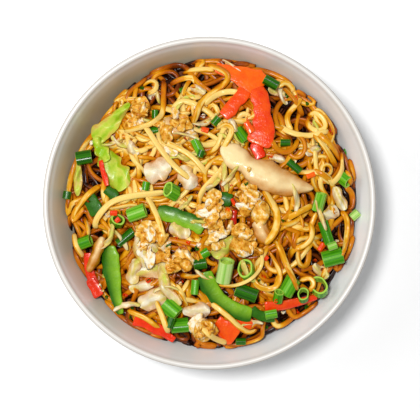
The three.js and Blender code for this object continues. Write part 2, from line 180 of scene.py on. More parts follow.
def weighted(tree, offset, *pairs):
    """Offset plus each value times its weight, kept from 0 to 1 at the end only."""
    total = offset
    for value, weight in pairs:
        total = add_node(tree, "Math", 0, {0: value, 1: weight, 2: total}, operation="MULTIPLY_ADD")
    total.node.use_clamp = True
    return total


def moist(tree, colour, roughness, lump, depth, spread, oil=0.12):
    """Inputs of cooked food: a thin film of oil over a surface with dents of a size and depth in mm.
    Some light goes in, and spread is how far red, green and blue go."""
    dents = add_node(tree, "Bump", "Normal", {"Height": grain(tree, lump), "Distance": depth * MM})
    return {
        "Base Color": colour, "Roughness": roughness, "IOR": FOOD_IOR, "Specular IOR Level": FOOD_SHINE,
        "Coat Weight": oil, "Coat Roughness": OIL_ROUGHNESS, "Normal": dents,
        "Subsurface Weight": LIGHT_SHARE, "Subsurface Radius": spread, "Subsurface Scale": LIGHT_DEPTH * MM,
    }


# %% [markdown]
# The bowl is thrown or pressed stoneware: a profile turned about its middle. Its wall follows part of a
# quarter ellipse, steep at the lip, which is rounded. A Screw modifier could turn the profile too, but the
# food has to know the wall's radius at any height, so the wall is a formula.

# %% Profile of the bowl
RIM_RADIUS, BOWL_HEIGHT, LIP_WIDTH = 90.0, 64.0, 3.1
LIP_HEIGHT = BOWL_HEIGHT - LIP_WIDTH / 2
INSIDE_LOW, INSIDE_HIGH = (8.0, 34.0), (LIP_HEIGHT, RIM_RADIUS - LIP_WIDTH)
OUTSIDE_LOW, OUTSIDE_HIGH = (4.5, 41.0), (LIP_HEIGHT, RIM_RADIUS)
WALL_ARC_SHARE = 0.4
BOWL_SIDES, WALL_STEPS, LIP_STEPS = 160, 40, 13
FOOT_RADIUS, FOOT_INSIDE_RADIUS, FOOT_RECESS = 40.0, 35.0, 2.5
FOOT_PROFILE = [
    (2, FOOT_RECESS), (32, FOOT_RECESS), (33.75, FOOT_RECESS), (34.4, 1.2), (34.6, 0.4),
    (FOOT_INSIDE_RADIUS, 0), (36, 0), (39.4, 0), (FOOT_RADIUS, 0.4), (40.2, 1.2),
]
FLOOR_PROFILE = [(30, INSIDE_LOW[0]), (2, INSIDE_LOW[0])]


def wall_radius(height, low, high):
    """Radius of a wall at a height: the lower part of a quarter ellipse between two (height, radius) ends."""
    climb = WALL_ARC_SHARE * (np.asarray(height) - low[0]) / (high[0] - low[0])
    full = math.sqrt(1 - (1 - WALL_ARC_SHARE) ** 2)
    return low[1] + (high[1] - low[1]) * np.sqrt(np.maximum(0, 1 - (1 - climb) ** 2)) / full


def around(count):
    """Angles of a full turn in that many even steps."""
    return np.linspace(0, 2 * np.pi, count, endpoint=False)


def turned(profile, sides):
    """Rings of a profile of (radius, height) rows turned about the z axis."""
    angle = around(sides)
    radius, height = np.asarray(profile).T[:, :, None]
    return np.stack(np.broadcast_arrays(radius * np.cos(angle), radius * np.sin(angle), height), axis=-1)


wall_climb = np.linspace(0, 1, WALL_STEPS) ** 2
outside = OUTSIDE_LOW[0] + (OUTSIDE_HIGH[0] - OUTSIDE_LOW[0]) * wall_climb
inside = INSIDE_LOW[0] + (INSIDE_HIGH[0] - INSIDE_LOW[0]) * wall_climb[::-1]
lip_turn = np.linspace(0, np.pi, LIP_STEPS)[1:-1]
lip_radius = RIM_RADIUS - LIP_WIDTH / 2 * (1 - np.cos(lip_turn))
lip_height = LIP_HEIGHT + LIP_WIDTH / 2 * np.sin(lip_turn)
bowl_profile = np.concatenate([
    FOOT_PROFILE,
    np.stack([wall_radius(outside, OUTSIDE_LOW, OUTSIDE_HIGH), outside], axis=-1),
    np.stack([lip_radius, lip_height], axis=-1),
    np.stack([wall_radius(inside, INSIDE_LOW, INSIDE_HIGH), inside], axis=-1),
    FLOOR_PROFILE,
])
bowl_rings = turned(bowl_profile, BOWL_SIDES)
print(len(bowl_rings), "rings make the bowl,", bowl_profile.max(axis=0), "mm in radius and height")

# %% [markdown]
# A fine dark line of painted shade lies along the rim's outer edge, and a little painted shade greys its top.
# A warm painted shade lies on the wall just above the food, most of it at the upper left. A painted image
# could carry both. Two numbers per point do the same without one, and stay in place on the bowl.

# %% Glaze of the bowl
# Painted shade on the wall: where it fades out, how fast, the heading where it is strongest, and how much
# lies all round.
WALL_SHADE_TOP, WALL_SHADE_FADE, WALL_SHADE_HEADING, WALL_SHADE_EVEN = 66.0, 15.0, math.radians(142), 0.42
# Width of the painted shade line on the rim's outer edge, and the share of painted shade on the rim's top.
RIM_SHADE_WIDTH, RIM_TOP_SHADE = 0.5, 0.4


def smear_on(rings):
    """Share of painted shade on the wall: less with height, most towards one heading, and none on the
    outside.
    """
    x, y, z = np.moveaxis(rings, -1, 0)
    low = np.clip((WALL_SHADE_TOP - z) / WALL_SHADE_FADE, 0, 1)
    side = np.maximum(0, WALL_SHADE_EVEN + (1 - WALL_SHADE_EVEN) * np.cos(np.arctan2(y, x) - WALL_SHADE_HEADING))
    return low * side * (np.arange(len(rings)) >= len(rings) - len(inside))[:, None]


def thin_on(profile):
    """Share of painted shade on the rim: all on its outer edge and some on its top."""
    radius, height = profile.T
    edge = np.exp(-((RIM_RADIUS - radius) / RIM_SHADE_WIDTH) ** 2 - np.minimum(height - LIP_HEIGHT, 0) ** 2)
    return np.maximum(edge, RIM_TOP_SHADE * np.clip(height - LIP_HEIGHT, 0, 1))[:, None]


def glaze(tree):
    """Fired glaze: smooth and glassy, with painted shade on the rim and a warm painted shade on the wall just
    above the food.
    """
    # White glaze, greyed by painted shade on the rim's top and darkest on its outer edge.
    stops = [(0.0, "f8fafa"), (RIM_TOP_SHADE, "e0dcd6"), (1.0, "8a7048")]
    glaze_with_rim_shade = add_node(tree, "ValToRGB", "Color", {"Fac": "thin"}, stops)
    wall_shade_share = weighted(tree, -0.1, ("smear", 0.8), (grain(tree, 12), 0.2))
    # b49a58 is the warm painted shade on the wall.
    colour = add_node(tree, "Mix", 2, {0: wall_shade_share, 6: glaze_with_rim_shade, 7: light("b49a58")}, data_type="RGBA")
    return {"Base Color": colour, "Roughness": 0.28, "IOR": 1.5}


glazed_stoneware = make_material("warm_white_glazed_stoneware", glaze)
bowl_skin = closed_skin(bowl_rings, smear=smear_on(bowl_rings), thin=thin_on(bowl_profile))
make_piece("bowl_glazed", [bowl_skin], glazed_stoneware, ["bowl"])

# %% [markdown]
# The food is a low dome that leans to the right. All toppings lie on this dome, so its height is a formula:
# highest in the middle, falling with the square of the distance, with a gentle tilt and swells.

# %% Dome of food
HEAP_EDGE_HEIGHT, HEAP_RISE, HEAP_RADIUS = 48.0, 12.5, 81.0
HEAP_TILT, HEAP_TILT_HEADING = 3.0, math.radians(-10)
SWELL_HEIGHT, SWELL_LENGTH = 0.9, 11.0
WALL_GAP = 0.9


def heap_height(x, y):
    """Height of the dome at places in mm."""
    fall = 1 - (x * x + y * y) / HEAP_RADIUS ** 2
    tilt = HEAP_TILT * (x * math.cos(HEAP_TILT_HEADING) + y * math.sin(HEAP_TILT_HEADING)) / HEAP_RADIUS
    swell = SWELL_HEIGHT * np.sin(x / SWELL_LENGTH) * np.cos(y / SWELL_LENGTH)
    return HEAP_EDGE_HEIGHT + HEAP_RISE * fall + tilt + swell


def edge_radius(angle, sunk):
    """Radius at which the dome, sunk by some mm, meets the wall, found by halving."""
    near, far = np.zeros_like(angle), np.full_like(angle, RIM_RADIUS)
    for _ in range(30):
        radius = (near + far) / 2
        height = heap_height(radius * np.cos(angle), radius * np.sin(angle)) - sunk
        clear = radius < wall_radius(height, INSIDE_LOW, INSIDE_HIGH) - WALL_GAP
        near, far = np.where(clear, radius, near), np.where(clear, far, radius)
    return near


print("the dome is", round(float(heap_height(0.0, 0.0)), 1), "mm high in the middle")

# %% [markdown]
# Below the loose noodles lies a dark core, which only shows through the gaps: its brown is partly sauce and
# partly painted shade of the deep gaps. It is the dome, sunk by a few millimetres, with a side that follows
# the wall of the bowl down to its floor.

# %% Core under the noodles
CORE_DEPTH = 6.5
CORE_SIDES, CORE_TOP_RINGS, CORE_SIDE_RINGS = 120, 60, 14
core_angle = around(CORE_SIDES)
core_radius = edge_radius(core_angle, CORE_DEPTH) * np.linspace(0.02, 1, CORE_TOP_RINGS)[:, None]
core_x, core_y = core_radius * np.cos(core_angle), core_radius * np.sin(core_angle)
core_top = np.stack([core_x, core_y, heap_height(core_x, core_y) - CORE_DEPTH], axis=-1)
core_low = INSIDE_LOW[0] + WALL_GAP
core_down = core_low + (core_top[-1, :, 2] - core_low) * np.linspace(1, 0, CORE_SIDE_RINGS)[1:, None] ** 2
core_wall = wall_radius(core_down, INSIDE_LOW, INSIDE_HIGH) - WALL_GAP
core_side = np.stack([core_wall * np.cos(core_angle), core_wall * np.sin(core_angle), core_down], axis=-1)


def core_finish(tree):
    """Soy and oil between the noodles, dark, brown and wet, and darkened further as painted shade of the
    gaps.
    """
    # Dark browns: partly sauce, partly painted shade of the gaps between noodles.
    shades = {0: grain(tree, 4), 6: light("4a1d06"), 7: light("8a4312")}
    colour = add_node(tree, "Mix", 2, shades, data_type="RGBA")
    return {"Base Color": colour, "Roughness": 0.6, "IOR": 1.4}


core_sauce_and_shade = make_material("sauce_and_painted_gap_shade", core_finish)
core_skin = closed_skin(np.concatenate([core_top, core_side]))
make_piece("noodle_core", [core_skin], core_sauce_and_shade, ["noodles"])

# %% [markdown]
# A cook cuts peppers, cabbage, chicken and egg into strips and lumps. Each is a rounded section carried along
# a short arc over the dome. Sculpting each by hand would take long, so a table says how each kind is cut:
# how thick and arched, how blunt its ends and how square its section, how lumpy, rippled and ragged.

# %% How the pieces are cut
PIECE_GAP, FOLD_SHARE = 0.5, 0.25
EVEN_WIDTH = ((-1, 1), (1, 1))
CUT_NAMES = ("thickness", "arch", "blunt", "square", "relief", "ripple", "detail", "fineness", "ragged")
CUT_ROWS = {
    "red_pepper": (3.0, 0.5, 9.0, 0.25, 0.0, 0.0, 0.04, 1.0, 0.12),
    "green_pepper": (3.4, 0.8, 9.0, 0.25, 0.0, 0.0, 0.04, 1.0, 0.07),
    "cabbage": (1.1, 0.5, 2.6, 0.8, 0.0, 2.2, 0.06, 1.0, 0.2),
    "chicken": (7.0, 0.4, 2.3, 1.0, 0.06, 0.0, 0.07, 0.6, 0.1),
    "egg": (5.0, 0.3, 2.4, 0.8, 0.14, 0.0, 0.14, 1.4, 0.3),
    "flake": (0.6, 0.3, 3.0, 0.5, 0.1, 2.4, 0.12, 1.6, 0.5),
}
CUTS = {kind: dict(zip(CUT_NAMES, row)) for kind, row in CUT_ROWS.items()}


def signed_power(value, power):
    """Power of the size with the sign kept, which squares or sharpens a round section."""
    return np.sign(value) * np.abs(value) ** power


def smooth(values, reach):
    """Averages values along a line with a bell-shaped weight of that reach in steps."""
    span = int(3 * reach) + 1
    weight = np.exp(-0.5 * (np.arange(-span, span + 1) / reach) ** 2)
    return np.convolve(np.pad(values, span, mode="edge"), weight / weight.sum(), mode="valid")


def ripples(u, v, seed):
    """Smooth uneven value of about -1 to 1: waves in eight seeded directions added up."""
    draw = np.random.default_rng(seed)
    way, phase = draw.uniform(0, 2 * np.pi, (2, 8))
    pitch = draw.uniform(0.6, 2.2, 8)
    waves = [np.sin(p * (u * np.cos(w) + v * np.sin(w)) + s) for w, s, p in zip(way, phase, pitch)]
    return np.sum(waves, axis=0) / 3


print(len(CUTS), "kinds of cut")

# %% [markdown]
# A row gives a piece's middle, heading, length, width, turn along its length, and how much it widens towards
# its far end. The section is a circle whose sine and cosine are raised to a power, which squares it.

# %% Points of a cut piece
def along_arc(row, share):
    """Place and heading at shares -1 to 1 of an arc that turns evenly about its own middle."""
    x, y, heading, length, _, bend, _ = row
    middle, half = math.radians(heading), math.radians(bend) / 2 or 1e-6
    reach, drift = np.sin(half * share) / half, (1 - np.cos(half * share)) / half
    across, up = math.cos(middle), math.sin(middle)
    on_x = x + length / 2 * (reach * across - drift * up)
    on_y = y + length / 2 * (reach * up + drift * across)
    return on_x, on_y, middle + half * share


def cut_piece(row, kind, seed, rings=48, sides=32, outline=EVEN_WIDTH):
    """Points of a cut piece on the dome, with how far along, across and up its section each point is.
    The outline gives the share of the width along the piece, and its square root that of the thickness.
    Ripples make the skin lumpy and the edge ragged, and a wave along and across it lifts a leaf."""
    cut = CUTS[kind]
    length, width, fine = row[3], row[4], cut["fineness"]
    share = np.sin((2 * (np.arange(rings) + 0.5) / rings - 1) * np.pi / 2)[:, None]
    angle = around(sides)[None, :]
    taper = (1 - np.abs(share) ** cut["blunt"]) ** (1 / cut["blunt"])
    broad = smooth(np.interp(share[:, 0], *np.transpose(outline)), 1.0)[:, None]
    rough = 1 + cut["relief"] * np.sin(3 * angle + 5 * share + row[0]) * np.cos(4 * share + row[1])
    lumps = ripples(fine * share * length / 2, fine * (np.cos(angle) * width / 2 + 3 * np.sin(angle)), seed)
    rough = rough + cut["detail"] * lumps
    side = signed_power(np.cos(angle), cut["square"]) * taper * rough
    rise = (1 + signed_power(np.sin(angle), cut["square"]) * taper * rough * np.sqrt(broad)) / 2
    wave = cut["ripple"] * (1 + np.sin(3.5 * share + 2 * side + row[0])) / 2
    wave = wave + FOLD_SHARE * cut["ripple"] * ripples(5 * share, 3 * side, seed + 20)
    on_x, on_y, heading = along_arc(row, share)
    edge = 1 + cut["ragged"] * ripples(share * length / 4, 4 * np.sign(side), seed + 50)
    out = side * width / 2 * (1 + row[6] * share) * edge * broad
    x, y = on_x - np.sin(heading) * out, on_y + np.cos(heading) * out
    z = heap_height(x, y) + rise * cut["thickness"] + cut["arch"] * (1 - side ** 2) + wave + PIECE_GAP
    return np.stack([x, y, z], axis=-1), share, side, rise


# %% [markdown]
# A finish needs to know where on its piece a point lies: pepper is dark on its rind and pale where it was
# cut, and leaves and meat have fibres along them. So the skin keeps those numbers at each point.

# %% Skin of a cut piece
VEINS_ALONG, VEINS_ACROSS = 1.5, 6.0


def on_its_node(points, node):
    """Moves points up or down so that their lowest one is level with the lowest point of their node."""
    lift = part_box(node)[0][2] / MM - points[..., 2].min()
    return points + [0, 0, lift]


def piece_skin(points, share, side, rise, skin_side, tone, seed):
    """Closed skin that keeps tone, along, across, skin and vein. Skin is 1 on the rind of a vegetable: all of
    the upper face where skin_side is 0, and else the edge on that side. Vein changes quickly across the
    piece and slowly along it, as fibres do."""
    upper = np.clip(4 * rise - 1.2, 0, 1)
    rind = upper if skin_side == 0 else np.clip(0.5 + 1.3 * (skin_side * side - 0.1), 0, 1)
    vein = ripples(VEINS_ALONG * share, VEINS_ACROSS * side, seed)
    return closed_skin(points, tone=tone, along=share, across=side, skin=rind, vein=vein)


# %% [markdown]
# The large pieces lie where they lie on the real dish, and each stands for one node of the frame. A few have
# an outline of their own, such as the chicken with its narrow place near one end. The tone goes from a dark
# or green piece to a pale one.

# %% Lay the cut pieces
NODE_ROWS = {
    "red_pepper": [
        (16.5, 69.5, -25, 28, 11.5, -26, 0.3), (14, 54, -130, 19, 7.4, -10, 0),
        (29, 47, -90, 32, 11, -42, 0.25),
        (26.5, 28.5, -76, 9, 5, 20, 0), (-65.5, -36.5, -76, 19, 5, 24, 0),
        (-29.5, -68, -29, 25, 6, -15, -0.4),
        (9, -69, -35, 14, 11, 0, 0), (44.5, -54.5, 11, 29, 5, 8, -0.35), (13.2, -8.6, -93, 10, 3.4, 0, 0),
    ],
    "green_pepper": [
        (-52.5, -42, -81, 38, 8, 12, -0.3), (-15, -8, -20, 27, 8.4, -22, 0),
        (6.4, -53, -43, 37, 8.8, 72, 0),
        (5.8, 3, -15, 13, 7, 0, 0), (-63.5, -0.5, -60, 12, 8, 0, 0),
    ],
    "cabbage": [
        (-53, 44.5, -134, 28, 9, -10, 0.42), (-52, 18, -58, 24, 13, 10, 0.15), (-28, 18, 15, 15, 14, 0, 0),
        (-12, 14, -60, 14, 9, 0, 0), (8, -23.5, -135, 16, 8, 15, 0), (-7, -58.5, 5, 15, 8, 0, 0),
        (-34, -35, 20, 20, 13, 20, 0), (-31, -52.5, 20, 16, 11, -20, 0), (71, 2.6, -65, 14, 6, 0, 0),
        (-72, 13, -90, 18, 4.5, 0, 0),
    ],
    "chicken": [
        (29.5, 15, -25, 56, 15.5, 42, -0.1), (28.5, -15.5, -65, 14, 9, 0, 0),
        (-61.5, -28, -114, 21, 6.6, -10, 0),
        (-20.5, 40.5, -30, 13, 11, 0, 0),
    ],
    "egg": [
        (-37.5, 48.5, 80, 15, 10, 0, 0), (1.5, -5.3, -8, 18, 9, 0, 0), (4, -14.8, 10, 9, 7.5, 0, 0),
        (22.5, 0.5, 80, 15, 11, 0, 0), (19.5, -22.5, 85, 14, 9, 0, 0), (-34, -17, 80, 16, 10, 0, 0),
        (-16, -31, 0, 16, 11, 0, 0), (-4, -69.5, -62, 13, 8, 0, 0),
    ],
}
OUTLINES = {
    "chicken_1": [(-1, 0.9), (-0.52, 0.95), (-0.4, 0.55), (-0.26, 1.0), (0, 1.1), (0.35, 1.0),
        (0.7, 0.75), (1, 0.5)],
    "red_pepper_1": [(-1, 0.7), (0, 0.95), (0.6, 1.25), (1, 0.9)],
    "red_pepper_3": [(-1, 0.95), (0, 0.95), (0.5, 1.2), (1, 0.95)],
    "green_pepper_1": [(-1, 0.65), (-0.6, 1.1), (-0.2, 1.2), (0.3, 0.95), (1, 0.7)],
    "red_pepper_4": [(-1, 1.5), (1, 1.1)],
}
SKIN_SIDES = {"green_pepper_1": -1, "green_pepper_2": 1, "green_pepper_3": -1}
TONES = {
    "red_pepper": [0.9, 0.7, 0.64, 0.5, 0.4, 0.5, 0.7, 0.6, 0.2],
    "green_pepper": [0.4, 0.5, 0.5, 0.1, 0.2],
    "cabbage": [0.3, 0.15, 1.15, 1.05, 0.6, 1.1, 0.85, 0.95, 0.8, 0.4],
    "chicken": [0.9, 0.5, 0.3, 0.5],
    "egg": [0.5, 0.4, 0.6, 0.7, 0.4, 0.5, 0.6, 0.4],
}
cut_skins = {kind: [] for kind in NODE_ROWS}
for kind, rows in NODE_ROWS.items():
    for number, (row, tone) in enumerate(zip(rows, TONES[kind]), start=1):
        node = f"{kind}_{number}"
        points, share, side, rise = cut_piece(row, kind, number, outline=OUTLINES.get(node, EVEN_WIDTH))
        points = on_its_node(points, node)
        made = piece_skin(points, share, side, rise, SKIN_SIDES.get(node, 0), tone, number)
        cut_skins[kind].append(made)
    print(kind, len(cut_skins[kind]), "pieces laid")

# %% [markdown]
# Spring onion is a leaf rolled into a tube. Cut across, it gives short hollow lengths, and the thick white
# ones hold a second, paler tube. The section of the wall is a rounded oblong that goes round the axis.

# %% Spring onion
ONION_WALL, ONION_BEVEL, ONION_OVAL, ONION_WOBBLE = 1.1, 0.18, 0.13, 0.02
ONION_STEPS, ONION_SIDES = 6, 40
ONION_PALE, HEART_SHARE, HEART_WALL_SHARE, HEART_LENGTH_SHARE = 0.9, 0.62, 0.5, 0.9
ONION_ROWS = [
    (-68.5, 25, 10, 0, 8.5, 7), (17.8, 37, -55, 10, 8.5, 5.6), (-6, 30, -65, 0, 10, 5.6),
    (33.5, 65.5, -30, 0, 8.5, 5.6), (-20.3, 6.4, 150, 40, 6.5, 8), (-50, -9.7, 60, 65, 5.5, 7),
    (-39.3, -5.3, 20, 10, 10, 7), (-45.5, -18.5, 40, 0, 11, 5), (-68.5, -21.5, 20, 10, 8.5, 7.5),
    (59.6, 0.7, 75, 10, 10, 7), (73.2, 13, -40, 30, 7, 6.4), (63.4, -16, -72, 0, 13, 5),
    (67, -29.5, 15, 0, 11, 8), (43.3, -45, 60, 10, 10, 8), (59.5, -45.5, 100, 62, 5.5, 10),
    (8.5, -36.5, 80, 20, 12, 9.5), (20, -36, 130, 62, 5.5, 9.6), (20, -48.5, -20, 0, 12, 7),
    (-20.8, -57.5, -40, 10, 9.5, 8), (-16, -66.5, 5, 0, 9.5, 7.4),
]
ONION_TONES = [
    0.1, 0.5, 0.6, 0.1, 0.6, 0.5, 0.7, 0.1, 0.5, 0.7, 0.6, 0.4, 0.5, 0.6, 0.6, 0.95, 0.6, 0.1, 0.6, 0.5,
]


def onion_rings(row, outer, wall, length, seed):
    """Points of a hollow length about its axis: the wall's section goes up outside, over the cut and down
    inside, and the tube is a little oval. Also gives how much green skin colour each point takes: all
    outside, none on the cut, and some on the inner wall as painted shade in the hollow."""
    x, y, heading, tilt = row[:4]
    turn, lean = math.radians(heading), math.radians(tilt)
    axis = np.array([math.cos(lean) * math.cos(turn), math.cos(lean) * math.sin(turn), math.sin(lean)])
    level = np.array([-math.sin(turn), math.cos(turn), 0])
    high = np.cross(axis, level)
    half, inner = length / 2, outer - wall
    run = np.linspace(-1, 1, ONION_STEPS) * (half - ONION_BEVEL)
    cut = [outer - ONION_BEVEL, inner + ONION_BEVEL]
    radius = np.concatenate([np.full(ONION_STEPS, outer), cut, np.full(ONION_STEPS, inner), cut[::-1]])
    height = np.concatenate([run, [half, half], run[::-1], [-half, -half]])
    # Green skin colour: all outside, none on the cut faces, and part-way on the inner wall as painted shade.
    green_and_hollow_shade = np.repeat([1.0, 0.0, 0.55, 0.0], [ONION_STEPS, 2, ONION_STEPS, 2])
    angle = around(ONION_SIDES)[:, None]
    oval = 1 + ONION_OVAL * np.cos(2 * angle + seed) + ONION_WOBBLE * np.cos(5 * angle + 2 * seed)
    across, up = radius * oval * np.cos(angle), radius * oval * np.sin(angle)
    places = across[..., None] * level + up[..., None] * high + height[:, None] * axis
    return places + [x, y, 0], green_and_hollow_shade, np.sin(9 * angle + seed) * np.cos(4 * angle)


onion_skins = []
for number, (row, tone) in enumerate(zip(ONION_ROWS, ONION_TONES), start=1):
    length, diameter = row[4], row[5]
    points, green_and_hollow_shade, streak = onion_rings(row, diameter / 2, ONION_WALL, length, number)
    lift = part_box(f"spring_onion_{number}")[0][2] / MM - points[..., 2].min()
    points = points + [0, 0, lift]
    onion_skins.append(closed_skin(points, loop=True, tone=tone, skin=green_and_hollow_shade, streak=streak))
    if tone > ONION_PALE:
        inner = (diameter / 2 - ONION_WALL) * HEART_SHARE
        wall, short = inner * HEART_WALL_SHARE, length * HEART_LENGTH_SHARE
        points, _, streak = onion_rings(row, inner, wall, short, number + 3)
        onion_skins.append(closed_skin(points + [0, 0, lift], loop=True, tone=1.0, skin=0.0, streak=streak))
print(len(onion_skins), "onion tubes")

# %% [markdown]
# Noodles settle where gravity and the other pieces let them. A simulation of hundreds of soft noodles would
# be slow, so a map of heights stands for what is already in the bowl: a noodle lies on the highest thing
# under its width, bridges small dips and slips under toppings.

# %% Map of heights
CELL, MAP_REACH = 0.6, 88.0
MAP_COUNT = int(2 * MAP_REACH / CELL) + 1
map_axis = np.linspace(-MAP_REACH, MAP_REACH, MAP_COUNT)
map_x, map_y = np.meshgrid(map_axis, map_axis, indexing="ij")
ground = heap_height(map_x, map_y) - CORE_DEPTH
roof = np.full_like(ground, np.inf)
cover = np.full_like(ground, -np.inf)


def cells(x, y):
    """Row and column of the map for places in mm."""
    steps = [np.rint((place + MAP_REACH) / CELL).astype(int) for place in (x, y)]
    return tuple(np.clip(step, 0, MAP_COUNT - 1) for step in steps)


def widen(field, pick):
    """Each cell takes the largest or smallest of itself and its four neighbours."""
    around = [np.roll(field, step, axis) for step in (-1, 1) for axis in (0, 1)]
    return pick.reduce([field, *around])


for skin in onion_skins + [skin for kind in cut_skins.values() for skin in kind]:
    x, y, z = skin["points"].T
    np.maximum.at(cover, cells(x, y), z)
    np.minimum.at(roof, cells(x, y), z)
cover, roof = widen(cover, np.maximum), widen(roof, np.minimum)
print(round(float(np.isfinite(cover).mean()) * 100), "% of the map lies under toppings")

# %% [markdown]
# A noodle follows a line over the heap. Lines keep clear of the wall, and at the upper left a little more so,
# where the real heap has sunk and leaves a gap.

# %% Lines of noodles
STRAND_STEP = 1.3
GAP_WIDTH, GAP_HEADING, GAP_SPREAD = 3.5, math.radians(142), math.radians(22)
KNEE_SHARE = 0.86


def evenly(x, y):
    """The same line with points at even steps."""
    run = np.append(0, np.cumsum(np.hypot(np.diff(x), np.diff(y))))
    places = np.linspace(0, run[-1], max(6, int(run[-1] / STRAND_STEP)))
    return np.interp(places, run, x), np.interp(places, run, y)


def kept_inside(x, y, room):
    """Draws a line in softly so that it stays that far from where the heap meets the wall."""
    radius, angle = np.hypot(x, y), np.arctan2(y, x)
    apart = (angle - GAP_HEADING) / GAP_SPREAD
    limit = edge_radius(angle, 0.0) - room - GAP_WIDTH * np.exp(-apart ** 2)
    knee = KNEE_SHARE * limit
    drawn_in = knee + (limit - knee) * np.tanh((radius - knee) / (limit - knee))
    share = np.where(radius > knee, drawn_in, radius) / np.maximum(radius, 1e-6)
    return x * share, y * share


# %% [markdown]
# A noodle rests on the map, dives under toppings and tucks its ends in. Then it raises the map, so that the
# next one lies on top of it.

# %% Settling noodles
TUCK_LENGTH, DIVE_GAP, SAG_SHARE = 7.0, 0.2, 0.35
BRIDGE_REACH, EASE_REACH, DIVE_REACH = 3.0, 1.5, 2.0


def way_along(x, y):
    """Unit direction along a line at each point, as its y and its x part. A right angle turns it sideways."""
    along_x, along_y = np.gradient(x), np.gradient(y)
    size = np.hypot(along_x, along_y) + 1e-9
    return (along_y / size)[:, None], (along_x / size)[:, None]


def near_ends(count, reach):
    """Share that is 1 at both ends of a strand and falls to 0 at that reach in mm from them."""
    run = np.arange(count) * STRAND_STEP
    return np.clip(1 - np.minimum(run, run[-1] - run) / reach, 0, 1)


def strand_height(x, y, width, thickness, floor, ceiling, tuck):
    """Height of a strand's middle: smoothly on the highest cells, under the ceiling, ends tucked in."""
    way_y, way_x = way_along(x, y)
    offsets = np.linspace(-0.4, 0.4, 5) * width
    spots = cells(x[:, None] - way_y * offsets, y[:, None] + way_x * offsets)
    under = floor[spots].max(axis=1)
    bridged = np.maximum(smooth(under, BRIDGE_REACH), under - SAG_SHARE * thickness)
    rest = smooth(bridged, EASE_REACH) + thickness / 2
    dive = np.maximum(0, rest + thickness / 2 + DIVE_GAP - ceiling[spots].min(axis=1))
    widest = np.maximum.reduce([np.roll(dive, step) for step in range(-2, 3)])
    dive = np.maximum(dive, smooth(widest, DIVE_REACH))
    return rest - dive - tuck * near_ends(len(x), TUCK_LENGTH) ** 2


def press_into(field, x, y, z, width, thickness):
    """Raises the map to the top of a strand, whose section is an ellipse."""
    way_y, way_x = way_along(x, y)
    share = np.linspace(-0.9, 0.9, 9)
    spots = cells(x[:, None] - way_y * share * width / 2, y[:, None] + way_x * share * width / 2)
    np.maximum.at(field, spots, z[:, None] + thickness / 2 * np.sqrt(1 - share ** 2))


# %% [markdown]
# The noodle itself is a rounded oblong section carried along its line. It keeps four numbers for its
# finish: its tone, how deep it lies, how far a point is towards its underside, which carries painted shade,
# and a streak. On the real dish the noodles at the upper left of the middle are palest, so the tone rises
# there.

# %% Skin of a noodle
PALE_PLACE, PALE_REACH, PALE_RISE = (-20, 26), 42.0, 0.5
PALE_MEAN, DEPTH_START, DEPTH_RANGE = 0.35, 2.5, 7
SQUARE_SHARE, END_SHARE, UNDERSIDE_SHADE_POWER, STREAK_REACH = 0.7, 0.3, 0.7, 9


def strand_skin(x, y, z, width, thickness, tone, roll, streak):
    """Oblong section carried along a line. Its width lies level, turned by a roll, and its ends are round."""
    line = np.stack([x, y, z], axis=-1)
    ahead = np.gradient(line, axis=0)
    ahead /= np.linalg.norm(ahead, axis=1, keepdims=True) + 1e-9
    level = np.cross(ahead, [0, 0, 1])
    level /= np.linalg.norm(level, axis=1, keepdims=True) + 1e-9
    high = np.cross(level, ahead)
    taper = np.maximum(END_SHARE, np.sqrt(1 - near_ends(len(x), thickness) ** 2))
    angle = around(streak.shape[1])
    wide = taper[:, None] * width / 2 * signed_power(np.cos(angle), SQUARE_SHARE)
    thick = taper[:, None] * thickness / 2 * signed_power(np.sin(angle), SQUARE_SHARE)
    turn = roll[:, None]
    across, up = wide * np.cos(turn) - thick * np.sin(turn), wide * np.sin(turn) + thick * np.cos(turn)
    rings = line[:, None, :] + across[..., None] * level[:, None, :] + up[..., None] * high[:, None, :]
    # How deep a point lies below the dome: the finish darkens deep noodles, partly for sauce and partly as
    # painted shade.
    depth = np.clip((heap_height(x, y) + DEPTH_START - z) / DEPTH_RANGE, 0, 1)[:, None]
    # Painted shade across the section: 0 on top and 1 on the underside.
    stain = (0.5 - 0.5 * np.sin(angle)) ** UNDERSIDE_SHADE_POWER
    away = np.hypot(x - PALE_PLACE[0], y - PALE_PLACE[1]) / PALE_REACH
    tone = tone + PALE_RISE * (np.exp(-away ** 2) - PALE_MEAN)[:, None]
    return closed_skin(rings, tone=tone, depth=depth, stain=stain, streak=streak)


def long_streaks(draw, count, sides):
    """Random values that change from side to side but only slowly along a strand."""
    total = np.cumsum(draw.normal(0, 1, (count + STREAK_REACH, sides)), axis=0)
    return (total[STREAK_REACH:] - total[:-STREAK_REACH]) / math.sqrt(STREAK_REACH)


# %% [markdown]
# The filling noodles start on a sunflower spiral, which spreads them evenly, and turn by smoothed random
# steps, so they curl as soft noodles do. Each one raises the map for the next.

# %% Filling noodles
FILL_COUNT, FILL_STEPS, FILL_SEED = 290, 74, 11
FILL_WIDTHS, FILL_THICKNESSES = (2.5, 3.4), (1.6, 2.1)
FILL_LAY = {"tuck": 1.5, "rolling": 2.2, "sides": 8, "tones": (0, 1)}
FILL_ROOM_FIRST, FILL_ROOM_LESS = 3.2, 2.8
FILL_REACH, CURL, CURL_REACH, BIAS = HEAP_RADIUS - 3, 0.42, 3.5, 0.035
ROLL_REACH, MEASURED_RADIUS = 6.0, 70


def lay_strand(draw, x, y, width, thickness, field, ceiling, tuck, rolling, sides, tones):
    """Settles a strand on the map, raises the map to it and gives its skin, rolled and toned at random."""
    z = strand_height(x, y, width, thickness, field, ceiling, tuck)
    press_into(field, x, y, z, width, thickness)
    roll = smooth(draw.normal(0, rolling, len(x)), ROLL_REACH)
    streak = long_streaks(draw, len(x), sides)
    return strand_skin(x, y, z, width, thickness, draw.uniform(*tones), roll, streak)


